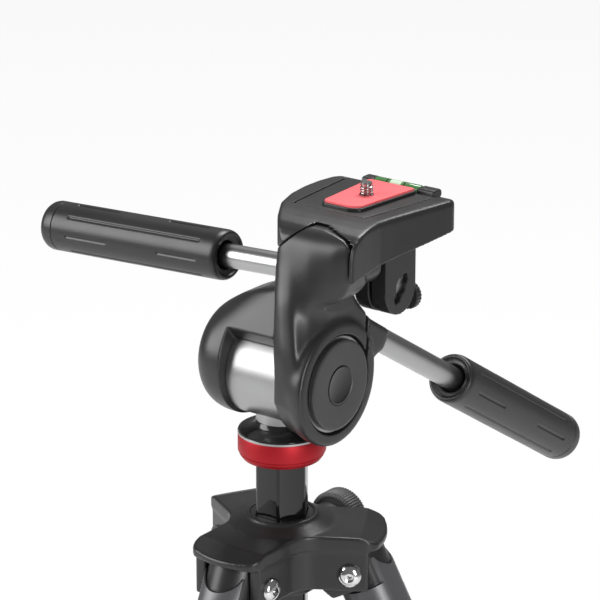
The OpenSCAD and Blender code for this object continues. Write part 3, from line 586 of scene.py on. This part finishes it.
head_plastic = satin_plastic("head_plastic", 0.021, 0.34)
neck = loft([[(x, y, z) for x, y in outline] for z, outline in (
    (-6, ((14.6, 16), (14.6, -27.0), (22.0, -28.3), (31.0, -28.9),
          (32.0, -27.0), (32.2, -22.0), (32.2, 10), (32.2, 16))),
    (6, ((14.6, 18), (14.6, -26.4), (22.0, -27.6), (30.1, -28.0),
         (31.4, -24.5), (32.0, -19.0), (32.2, 10), (32.2, 18))),
    (20, ((12.9, 18), (12.7, -24.6), (19.4, -26.2), (26.8, -25.8),
          (29.2, -19.5), (30.8, -11.5), (31.0, 6), (31.0, 18))),
    (33, ((11.0, 15), (10.8, -21.6), (16.6, -23.0), (22.9, -22.4),
          (27.4, -15.0), (30.6, -7.0), (30.8, 4), (30.8, 15))),
    (40, ((9.8, 14), (9.6, -19.6), (14.8, -21.1), (21.0, -20.6),
          (27.0, -15.6), (31.6, -9.8), (33.0, -2.0), (32.6, 14))),
    (44, ((8.6, 13), (8.4, -18.0), (13.6, -19.7), (19.8, -19.5),
          (27.4, -15.5), (35.2, -10.6), (38.6, -5.0), (37.0, 13))),
    (48, ((7.4, 12), (7.2, -16.2), (12.2, -18.1), (18.4, -18.0),
          (27.4, -15.2), (37.2, -10.9), (42.0, -7.0), (40.4, 12))),
    (53, ((6.2, 9), (6.1, -13.9), (10.4, -16.2), (16.2, -16.4),
          (26.6, -14.9), (38.4, -11.4), (44.0, -8.0), (42.0, 9))),
    (59, ((5.2, 8), (5.2, -11.8), (8.6, -13.8), (13.6, -14.4),
          (25.4, -13.9), (38.0, -11.6), (45.0, -8.6), (42.8, 8))),
    (66, ((5.0, 8), (5.0, -9.8), (6.8, -11.4), (9.9, -12.0),
          (25.0, -11.9), (38.0, -11.0), (45.2, -9.0), (43.0, 8))),
    (70, ((5.0, 8), (5.0, -8.2), (6.8, -9.5), (9.9, -10.0),
          (25.0, -9.9), (38.0, -9.4), (45.2, -8.2), (43.0, 8))),
    (73, ((5.0, 8), (5.0, -5.8), (6.8, -6.8), (9.9, -7.1),
          (25.0, -7.0), (38.0, -6.8), (45.2, -6.4), (43.0, 8))),
    (75, ((5.0, 8), (5.0, -2.6), (6.8, -3.2), (9.9, -3.4),
          (25.0, -3.4), (38.0, -3.4), (45.2, -3.2), (43.0, 8))),
    (77, ((5.0, 8), (5.0, 3.0), (6.8, 3.0), (9.9, 3.0),
          (25.0, 3.0), (38.0, 3.0), (45.2, 3.0), (43.0, 8))))])
ring = turned([(0, 14.6), (26.3, 14.6), (26.6, 16), (27.2, 20.6), (28.6, 24.0), (29.4, 26.5), (29.7, 28),
               (29.9, 32.4), (29.4, 32.9), (0, 32.9)], place=ALONG_X, steps=160)
lug = prism([(0, 20), (4, 45.5), (10, 44.6), (14.2, 42.4), (18.4, 36.0), (27.0, 26.6), (29.2, 24.0), (43.9, 14.6),
             (45.2, 12.8), (40.2, 5.2), (31.8, 3.2), (27, -6), (10, 0)], "x", 15.2, 31.0)
roll_x, roll_z = 31, 53
arm_bore, cheek_bore, cap_bore = 22.96, 23.3, 24.0
arm = combine(ring, "UNION", neck, lug, bar((roll_x, 0, roll_z), (roll_x, 25.6, roll_z), 9))
moulded_edges(arm, 0.8, 30)
combine(arm, "DIFFERENCE",
        prism([(3.0, 62.4), (8.6, 66.5), (14.4, 72.0), (17.8, 74.6), (19.8, 75.2), (27.0, 75.1), (34.0, 74.2),
               (39.8, 73.1), (41.6, 72.2), (43.6, 71.0), (45.2, 69.7), (46.4, 68.4), (52, 90), (-5, 90),
               (-5, 61)], "y", -30, 30),
        bar((14.59, 0, 0), (40, 0, 0), arm_bore, steps=160), bar((-5, 0, 0), (14.6, 0, 0), cheek_bore, steps=160),
        bar((29.8, 0, 0), (40, 0, 0), cap_bore, steps=160))
slit = prism([(-1.3, -16), (1.3, -16), (1.3, 14), (-1.3, 14)], "x", 13.6, 33.6)
slit.data.transform(Matrix.Translation((0, 24.9, 20.4)) @ Matrix.Rotation(math.radians(-12), 4, "X"))
room = combine(box_solid((31.1, -8.0, 33.5), (60.9, 51.1, 50)), "DIFFERENCE",
               bar((roll_x, -40, roll_z), (roll_x, 80, roll_z), 12.5))
combine(arm, "DIFFERENCE", slit, room)
moulded_edges(arm, 0.45, 4, 0.45)
fit(arm, "tilt_arm", "tilt_body", ["tilt_arm"], head_plastic, HEAD, sharp=80)

# The cheek is drawn tight over a domed drum and the ridge that climbs from it towards the arm.
drum = bmesh.new()
shell = turned([(0, 14.56), (27.8, 14.56), (27.8, -20.5), (27.2, -24.6), (25.8, -28.2), (23.2, -31.4),
                (19.6, -33.9), (15.2, -35.4), (10, -36.1), (0, -36.1)],
               place=Matrix.Translation((0, 0, 4.2)) @ ALONG_X)
for point in shell.data.vertices:
    drum.verts.new(point.co)
bpy.data.objects.remove(shell)
for x, z, y0, y1 in ((-28, 26.0, -4, 8), (-23.5, 31.9, -7, 10), (-16.8, 36.8, -8, 12), (-7, 41.0, -9, 12),
                     (4, 44.0, -9, 12), (14.56, 45, -9, 12)):
    for y in (y0, y1):
        drum.verts.new((x, y, z))
bmesh.ops.convex_hull(drum, input=drum.verts, use_existing_faces=False)
bmesh.ops.delete(drum, geom=[v for v in drum.verts if not v.link_faces], context="VERTS")
bmesh.ops.recalc_face_normals(drum, faces=drum.faces)
cheek = moulded_edges(object_from(drum, "cheek"), 0.9, 40)
cheek.data.transform(Matrix.Translation((0, 0, 4.5)) @ Matrix.Scale(1.012, 4) @ Matrix.Translation((0, 0, -4.5)))
window_front, window_back = math.radians(49), math.radians(24)
combine(cheek, "DIFFERENCE",
        bar((-15.9, 0, 0), (20, 0, 0), cheek_bore, steps=160),
        prism([(0, 0), (-60 * math.cos(window_front), 60 * math.sin(window_front)), (-70, 50), (-70, -60), (60, -60),
               (60, -60 * math.tan(window_back))], "x", -15.9, 20),
        prism([(14.55, -60), (14.55, 6), (9.4, 37), (3.5, 50), (3.5, 90), (60, 90), (60, -60)], "y", -60, 60))
moulded_edges(cheek, 0.5, 7, 0.45)
fit(cheek, "tilt_cheek", "tilt_body", ["tilt_cheek"], head_plastic, HEAD, sharp=80)

# ---------------------------------------------------------------- locking handles
# Each is a satin alloy rod, threaded into the head, with a moulded grip pressed on it. Eight long
# grooves run along the grip, every other one broken in the middle, and a cap closes the far end.
grip_plastic = satin_plastic("grip_plastic", 0.020, 0.36, grain=2300.0, depth=0.000025, wear=0.3)


def handle(name, joint, stud, rod_start, reach, length, roll):
    """One handle on its joint's axis. It rides on the body of its own name."""
    axis = Vector(joints[joint]["axis"]).to_track_quat("Z", "Y").to_matrix().to_4x4()
    place = (Matrix.Translation(Vector(joints[joint]["pos_m"]) * 1000) @ axis
             @ Matrix.Rotation(math.radians(roll), 4, "Z"))
    aim = place.to_euler()
    rod_metal = turned_metal(name + "_rod_alloy", (0.42, 0.42, 0.425), 0.31, (900.0, 900.0, 20.0),
                             tilt=(-aim.x, -aim.y, -aim.z), spread=0.03, depth=0.000001, scatter=0.03)
    fit(turned([(0, stud), (3.5, stud), (3.9, stud + 0.5), (3.9, rod_start), (5.5, rod_start), (5.9, rod_start + 0.4),
                (5.9, reach + length - 22), (0, reach + length - 22)], steps=96),
        name + "_rod", name, [name + "_rod"], rod_metal, place, sharp=30)
    grip = turned([(5.95, 7.0), (6.9, 5.6), (7.1, 2.4), (7.6, 1.7), (9.2, 1.5), (9.9, 1.1), (10.3, 0.3), (10.9, 0.0),
                   (11.7, 0.35), (12.3, 1.3), (12.58, 2.8), (12.6, 4.5), (12.6, length - 8.5), (12.4, length - 8.3),
                   (0, length - 8.3), (0, length - 18), (5.95, length - 18)], steps=120)
    cuts = []
    first, last = 11, length - 18
    for turn in range(8):
        runs = ((first, last),) if turn % 2 else ((first, length * 0.32), (length * 0.605, last))
        for low, high in runs:
            groove = bar((12.75, 0, low), (12.75, 0, high), 0.85, steps=12)
            groove.data.transform(Matrix.Rotation(turn * math.tau / 8, 4, "Z"))
            cuts.append(groove)
    combine(grip, "DIFFERENCE", merged(cuts, "grooves"))
    moulded_edges(grip, 0.38, 3, 0.45)
    fit(grip, name + "_grip", name, [name + "_grip"], grip_plastic,
        place @ Matrix.Translation((0, 0, reach)), sharp=80)
    fit(turned([(0, -8.15), (12.45, -8.15), (12.6, -8.0), (12.6, -4.2), (12.2, -2.6), (11.3, -1.2), (9.9, -0.4),
                (8.2, -0.05), (6.5, 0), (0, 0)], steps=96),
        name + "_cap", name, [name + "_cap"], grip_plastic,
        place @ Matrix.Translation((0, 0, reach + length)), sharp=35)


handle("tilt_handle", "tilt_handle_turn", stud=-31.5, rod_start=0.3, reach=75.5, length=124.5, roll=12)
handle("side_handle", "side_handle_turn", stud=-7.0, rod_start=9.6,
       reach=(roll_x + 62) / math.cos(math.radians(2.75)), length=113.0, roll=-3)

# ---------------------------------------------------------------- camera platform
# A deep tray moulding: its deck rolls over into the front face, which arches over the arm's head, and
# its right wall hangs down beside the arm. A panel is let into the deck round the plate's seat.
deck = 78.0


def rounded_prism(outline, radii, low, high, top=0.0):
    """An upright prism whose corners and top edge are rounded. radii goes with the outline's corners."""
    bm = bmesh.new()
    bottom = [bm.verts.new((x, y, low)) for x, y in outline]
    face = bm.faces.new(bottom)
    geom = bmesh.ops.extrude_face_region(bm, geom=[face])["geom"]
    bmesh.ops.translate(bm, vec=(0, 0, high - low), verts=[v for v in geom if isinstance(v, bmesh.types.BMVert)])
    for (x, y), radius in zip(outline, radii):
        if radius:
            corner = [e for e in bm.edges
                      if all(abs(v.co.x - x) < 1e-4 and abs(v.co.y - y) < 1e-4 for v in e.verts)]
            bmesh.ops.bevel(bm, geom=corner, offset=radius, offset_type="OFFSET", affect="EDGES",
                            segments=8, profile=0.5, material=-1)
    if top:
        edge = [e for e in bm.edges if all(abs(v.co.z - high) < 1e-4 for v in e.verts)]
        bmesh.ops.bevel(bm, geom=edge, offset=top, affect="EDGES", segments=4, profile=0.5, material=-1)
    bmesh.ops.recalc_face_normals(bm, faces=bm.faces)
    return object_from(bm, "rounded_prism")


panel_t, wall_t = 1.8, 3.6
seat = ((10.6, 21.6, deck - 10), (30.0, 58.4, deck + 10))
outline = [(6.6, -12.0), (48.2, -12.0), (48.0, -9.0), (47.3, -2.0), (46.6, 6.0), (46.2, 14.0), (47.2, 23.0),
           (49.8, 38.0), (53.2, 56.0), (54.0, 61.5), (52.6, 65.0), (-12.8, 65.0), (-15.8, 61.0), (-17.4, 51.0),
           (-17.4, 40.0), (-15.6, 27.0), (-11.2, 14.0), (-2.4, 0.0)]
tray = rounded_prism(outline, [7] + [0] * 17, 50, deck, 2.2)
roll_over = [(-11.2, 40), (-11.2, 61), (-11.1, 65.5), (-10.5, 68.4), (-9.3, 70.8), (-6.8, 73.3), (-3.2, 75.3),
             (2.0, 76.7), (8.0, 77.55), (15.0, deck), (17, deck + 1), (72, deck + 1), (72, 40)]
combine(tray, "INTERSECT", prism(roll_over, "x", -30, 70))
moulded_edges(tray, 0.7, 8)
combine(tray, "INTERSECT", box_solid((-30, -20, 51), (70, 90, deck)))
inside = [(9.0, -8.0), (44.6, -8.0), (44.0, 2.0), (43.4, 8.0), (43.2, 15.0), (44.2, 24.0), (46.6, 38.0),
          (50.0, 56.0), (50.4, 62.0), (-12.4, 62.0), (-14.2, 50.0), (-14.2, 40.0), (-12.4, 28.0), (-8.4, 15.0)]
under = rounded_prism(inside, [5] + [0] * 13, 40, deck - wall_t)
combine(under, "INTERSECT", prism([(-8.0, 30), (-8.0, 62), (-7.2, 66), (-5.0, 69.0), (-1.0, 71.6), (4.0, 73.2),
                                   (12, deck - wall_t), (70, deck - wall_t), (70, 30)], "x", -30, 70))
rib = prism([(-1, 58), (14, 58), (20, 64.2), (40, 66.4), (44.4, 66), (44.4, 74.6), (2, 74.6), (-1, 66)],
            "y", 8.6, 10.4)
combine(tray, "DIFFERENCE", under)
combine(tray, "UNION", rib)
arch = prism([(4.1, 40), (4.1, 63.4), (8.6, 67.4), (14.4, 72.9), (18.0, 75.6), (19.8, 76.15), (27.0, 76.0),
              (34.0, 75.15), (40.0, 74.1), (44.0, 73.2), (44.0, 40)], "y", -20, 8.5)
mouth = combine(arch, "UNION", prism([(43, -20), (47.7, -20), (46.3, -9), (44.1, 8.5), (43, 8.5)], "z", 40, 72.4))
combine(tray, "DIFFERENCE", box_solid((-30, -20, 40), (44.1, 8.5, 64)), box_solid((-30, 10.5, 40), (43.6, 90, 64)),
        prism([(-20, 30), (-20, 54.6), (-9, 54.8), (17, 57.4), (43, 60.4), (66, 63.4), (80, 65.4), (80, 30)],
              "x", 43.4, 70),
        mouth,
        prism([(-4.6, 15.2), (37.0, 14.4), (44.2, 61.6), (-8.4, 61.6)], "z", deck - panel_t, deck + 5),
        box_solid(*seat), box_solid((1.0, 61.38, deck - 2), (42.8, 80, deck + 8)),
        box_solid((-25, 25.6, 69.0), (0, 59.6, 73.4)))
moulded_edges(tray, 0.38, 3, 0.4)
fit(tray, "platform", "camera_platform", ["platform"], head_plastic, HEAD, sharp=80)

panel = rounded_prism([(-3.7, 15.6), (36.6, 14.8), (43.8, 61.2), (-7.4, 61.2)], [0.6] * 4, deck - panel_t, deck, 0.25)
combine(panel, "DIFFERENCE", box_solid(*seat))
fit(panel, "deck_panel", "camera_platform", ["deck_cover"], head_plastic, HEAD, sharp=30)

fit(moulded_edges(cad_solid("roll_clamp"), 0.4, 5, 0.5), "roll_clamp", "camera_platform", ["roll_clamp"],
    satin_plastic("clamp_plastic", 0.016, 0.36), sharp=80)

# The friction knob under the deck is a small ribbed thumb wheel pressed on its screw.
wheel, near, far = ribbed_rim(24, 7.0, 6.75, 0.5, 3.1)
closed_in(wheel, near, [(0.94, -0.35), (0.93, -0.15), (0.3, 0.0)])
closed_in(wheel, far, [(0.94, 0.35), (0.9, 0.25), (0.8, 0.05), (0.92, -0.35), (0.2, -0.1)])
bmesh.ops.recalc_face_normals(wheel, faces=wheel.faces)
wheel_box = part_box("friction_knob")
wheel_at = Vector(((wheel_box[0][0] + wheel_box[1][0]) / 2, wheel_box[1][1] - 0.0036,
                   (wheel_box[0][2] + wheel_box[1][2]) / 2)) * 1000
fit(combine(object_from(wheel, "wheel"), "UNION", bar((0, 0, -8.2), (0, 0, 1.5), 2.4, steps=32)),
    "friction_knob", "roll_friction_knob", ["friction_knob"], black_plastic,
    Matrix.Translation(wheel_at) @ Matrix.Rotation(-math.pi / 2, 4, "X"), sharp=40)

# ---------------------------------------------------------------- level
# A spirit vial in a moulded cradle at the deck's rear edge: clear acrylic round green spirit, with
# two black lines either side of the bubble.
fit(moulded_edges(cad_solid("level_holder"), 0.3, 4, 0.5), "level_cradle", "camera_platform",
    ["level_holder"], head_plastic, sharp=80)
vial_box = [v * 1000 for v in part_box("level_vial")]
middle = (vial_box[0] + vial_box[1]) / 2
spirit = Finish("level_spirit")
where = spirit.node("ShaderNodeTexCoord", out="Object")
spot = spirit.node("ShaderNodeMapping", {"vector_type": "POINT"}, {
    "Vector": where, "Location": tuple(-middle / 1000)})
along_vial = spirit.node("ShaderNodeSeparateXYZ", None, {"Vector": spot}, out="X")
off = spirit.node("ShaderNodeMath", {"operation": "ABSOLUTE"}, {0: along_vial + 0.0008})
bubble = spirit.node("ShaderNodeMapRange", None, {"Value": off, "From Min": 0.0034, "From Max": 0.0028})
line = spirit.node("ShaderNodeMath", {"operation": "COMPARE"}, {0: off, 1: 0.0050, 2: 0.00028})
cloud = spirit.node("ShaderNodeTexNoise", None, {"Vector": where, "Scale": 160.0}, out="Fac")
green = spirit.node("ShaderNodeMix", {"data_type": "RGBA"}, {
    "Factor": cloud, "A": colour(0.05, 0.16, 0.055), "B": colour(0.09, 0.24, 0.085)}, out=2)
clear = spirit.node("ShaderNodeMix", {"data_type": "RGBA"}, {
    "Factor": bubble, "A": green, "B": colour(0.62, 0.78, 0.60)}, out=2)
marked = spirit.node("ShaderNodeMix", {"data_type": "RGBA"}, {
    "Factor": line, "A": clear, "B": colour(0.01)}, out=2)
spirit.node("ShaderNodeOutputMaterial", None, {"Surface": spirit.node("ShaderNodeBsdfPrincipled", None, {
    "Base Color": marked, "Roughness": 0.06 + cloud * 0.05, "IOR": 1.49, "Coat Weight": 0.4})})
half = (vial_box[1].x - vial_box[0].x) / 2
radius = (vial_box[1].z - vial_box[0].z) / 2
fit(turned([(0, -half), (radius - 0.5, -half), (radius - 0.1, -half + 0.4), (radius, -half + 1.0),
            (radius, half - 1.0), (radius - 0.1, half - 0.4), (radius - 0.5, half), (0, half)], steps=64),
    "level_vial", "camera_platform", ["level_vial"], spirit,
    Matrix.Translation(middle) @ ALONG_X, sharp=40)

# ---------------------------------------------------------------- release lever and quick plate
# The lever under the deck's left edge frees the plate. The plate is black nylon with a red rubber
# pad let into its top, and a captive steel screw stands up through both for the camera.
fit(moulded_edges(cad_solid("release_lever"), 0.3, 5, 0.5), "release_lever", "plate_lever", ["release_lever"],
    black_plastic, sharp=80)
screw_x, screw_y = 20.3, 39
pad = rounded_prism([(9.1, 19.6), (26.6, 19.2), (29.2, 22.6), (33.2, 60.4), (6.9, 60.4)], [2.6, 3.4, 2.2, 1.6, 1.6],
                    deck + 1.55, deck + 2.6, 0.35)
combine(pad, "DIFFERENCE", bar((screw_x, screw_y, 70), (screw_x, screw_y, 90), 3.55, steps=64))
pad_rubber = Finish("pad_rubber")
where = pad_rubber.node("ShaderNodeTexCoord", out="Object")
pores = pad_rubber.node("ShaderNodeTexVoronoi", None, {"Vector": where, "Scale": 1500.0}, out="Distance")
fade = pad_rubber.node("ShaderNodeTexNoise", None, {"Vector": where, "Scale": 90.0, "Detail": 4.0}, out="Fac")
pad_rubber.node("ShaderNodeOutputMaterial", None, {"Surface": pad_rubber.node("ShaderNodeBsdfPrincipled", None, {
    "Base Color": pad_rubber.node("ShaderNodeMix", {"data_type": "RGBA"}, {
        "Factor": fade, "A": colour(0.82, 0.105, 0.12), "B": colour(0.93, 0.145, 0.16)}, out=2),
    "Roughness": 0.62 + (fade - 0.5) * 0.16,
    "Normal": pad_rubber.node("ShaderNodeBump", None, {"Height": pores, "Strength": 0.5, "Distance": 0.00006})})})
fit(pad, "plate_pad", "release_plate", ["plate_pad"], pad_rubber, HEAD, sharp=35)
plate = rounded_prism([(8.2, 18.7), (27.2, 18.3), (30.3, 22.0), (34.2, 60.8), (6.0, 60.8)],
                      [3.2, 3.8, 2.6, 2.0, 2.0], deck + 0.05, deck + 1.6, 0.45)
combine(plate, "UNION", box_solid((11, 22, deck - 7), (29.6, 58, deck + 0.6)))
combine(plate, "DIFFERENCE", bar((screw_x, screw_y, 60), (screw_x, screw_y, 90), 2.95, steps=64),
        bar((screw_x, screw_y, 60), (screw_x, screw_y, 76), 7.4, steps=64))
fit(plate, "quick_plate", "release_plate", ["quick_plate"], black_plastic, HEAD, sharp=35)

# The screw is a quarter-inch camera screw with twenty threads to the inch, wound round a plain core.
pitch = 1.27
screw_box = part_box("camera_screw")
screw_top = screw_box[1][2] * 1000
screw_low = screw_box[0][2] * 1000
thread = bmesh.new()
vee = [thread.verts.new((r, 0, z)) for r, z in (
    (2.0, 0.0), (2.45, 0.12), (3.10, 0.50), (3.175, 0.64), (3.10, 0.78), (2.45, 1.14), (2.0, 1.26))]
vee_edges = [thread.edges.new((vee[i], vee[(i + 1) % len(vee)])) for i in range(len(vee))]
turns, steps_a_turn = 3.6, 36
bmesh.ops.spin(thread, geom=vee + vee_edges, axis=(0, 0, 1), cent=(0, 0, 0), dvec=(0, 0, pitch / steps_a_turn),
               angle=math.tau * turns, steps=int(steps_a_turn * turns), use_merge=False, use_duplicate=False)
bmesh.ops.holes_fill(thread, edges=[e for e in thread.edges if len(e.link_faces) == 1], sides=12)
bmesh.ops.recalc_face_normals(thread, faces=thread.faces)
helix = object_from(thread, "thread")
helix.data.transform(Matrix.Translation((0, 0, screw_top - 6.6)))
core = turned([(0, screw_low), (6.6, screw_low), (6.9, screw_low + 0.3), (6.9, screw_low + 2.9),
               (6.6, screw_low + 3.2), (2.9, screw_low + 3.2), (2.9, screw_top - 6.4), (2.4, screw_top - 6.0),
               (2.4, screw_top - 1.0), (2.75, screw_top - 0.9), (2.75, screw_top - 0.35), (2.45, screw_top),
               (0, screw_top)], "core", steps=72)
combine(core, "DIFFERENCE", box_solid((-7, -0.6, screw_low - 1), (7, 0.6, screw_low + 1.2)))
screw_steel = turned_metal("screw_steel", (0.55, 0.55, 0.55), 0.24, (60.0, 60.0, 2500.0), depth=0.00001)
fit(merged([core, helix], "screw"), "camera_screw", "screw", ["camera_screw"], screw_steel,
    Matrix.Translation(((screw_box[0][0] + screw_box[1][0]) * 500, (screw_box[0][1] + screw_box[1][1]) * 500, 0)),
    sharp=30)

# ---------------------------------------------------------------- legs
# Three alloy tubes slide inside one another on each leg. The largest is pinned to a nylon hinge
# block under its hood, a levered collar locks each slide, and a rubber foot is pushed on the end.
foot_rubber = satin_plastic("foot_rubber", 0.018, 0.7, grain=1500.0, depth=0.00004, wear=0.1)
catch_plastic = satin_plastic("catch_plastic", 0.020, 0.36, wear=0.3)
for leg in hinges:
    down = Vector(joints[f"leg_{leg}_middle_slide"]["axis"])
    aim = (-down).to_track_quat("Z", "Y").to_euler()
    leg_alloy = turned_metal(f"leg_alloy_{leg}", (0.115, 0.115, 0.12), 0.36, (1100.0, 1100.0, 25.0), metallic=0.35,
                             tilt=(-aim.x, -aim.y, -aim.z), spread=0.05, depth=0.00001)
    for part, body in (("upper_tube", ""), ("middle_tube", "_middle"), ("lower_tube", "_lower")):
        tube = cad_solid(f"leg_{leg}_{part}")
        edge = tube.modifiers.new("edge", "BEVEL")
        edge.width = 0.25
        edge.segments = 2
        edge.limit_method = "ANGLE"
        edge.angle_limit = math.radians(50)
        apply_modifiers(tube)
        fit(tube, f"leg_{leg}_{part}_tube", f"leg_{leg}{body}", [f"leg_{leg}_{part}"], leg_alloy,
            sharp=30)
    for part, body in (("upper_lever", "_upper_catch"), ("lower_lever", "_lower_catch")):
        catch = moulded_edges(cad_solid(f"leg_{leg}_{part}"), 0.4, 6, 0.5)
        fit(catch, f"leg_{leg}_{part}_catch", f"leg_{leg}{body}", [f"leg_{leg}_{part}"],
            catch_plastic, sharp=80)
    for part, body, solids in (("fittings", "", 2), ("lower_collar", "_middle", 1)):
        collar = moulded_edges(cad_solid(f"leg_{leg}_{part}"), 0.55, 5, 0.45, solids)
        fit(collar, f"leg_{leg}_{part}_moulding", f"leg_{leg}{body}", [f"leg_{leg}_{part}"],
            shoulder_plastic, sharp=80)
    foot = moulded_edges(cad_solid(f"leg_{leg}_foot"), 0.5, 4, 0.5)
    fit(foot, f"leg_{leg}_rubber_foot", f"leg_{leg}_lower", [f"leg_{leg}_foot"], foot_rubber,
        sharp=80)
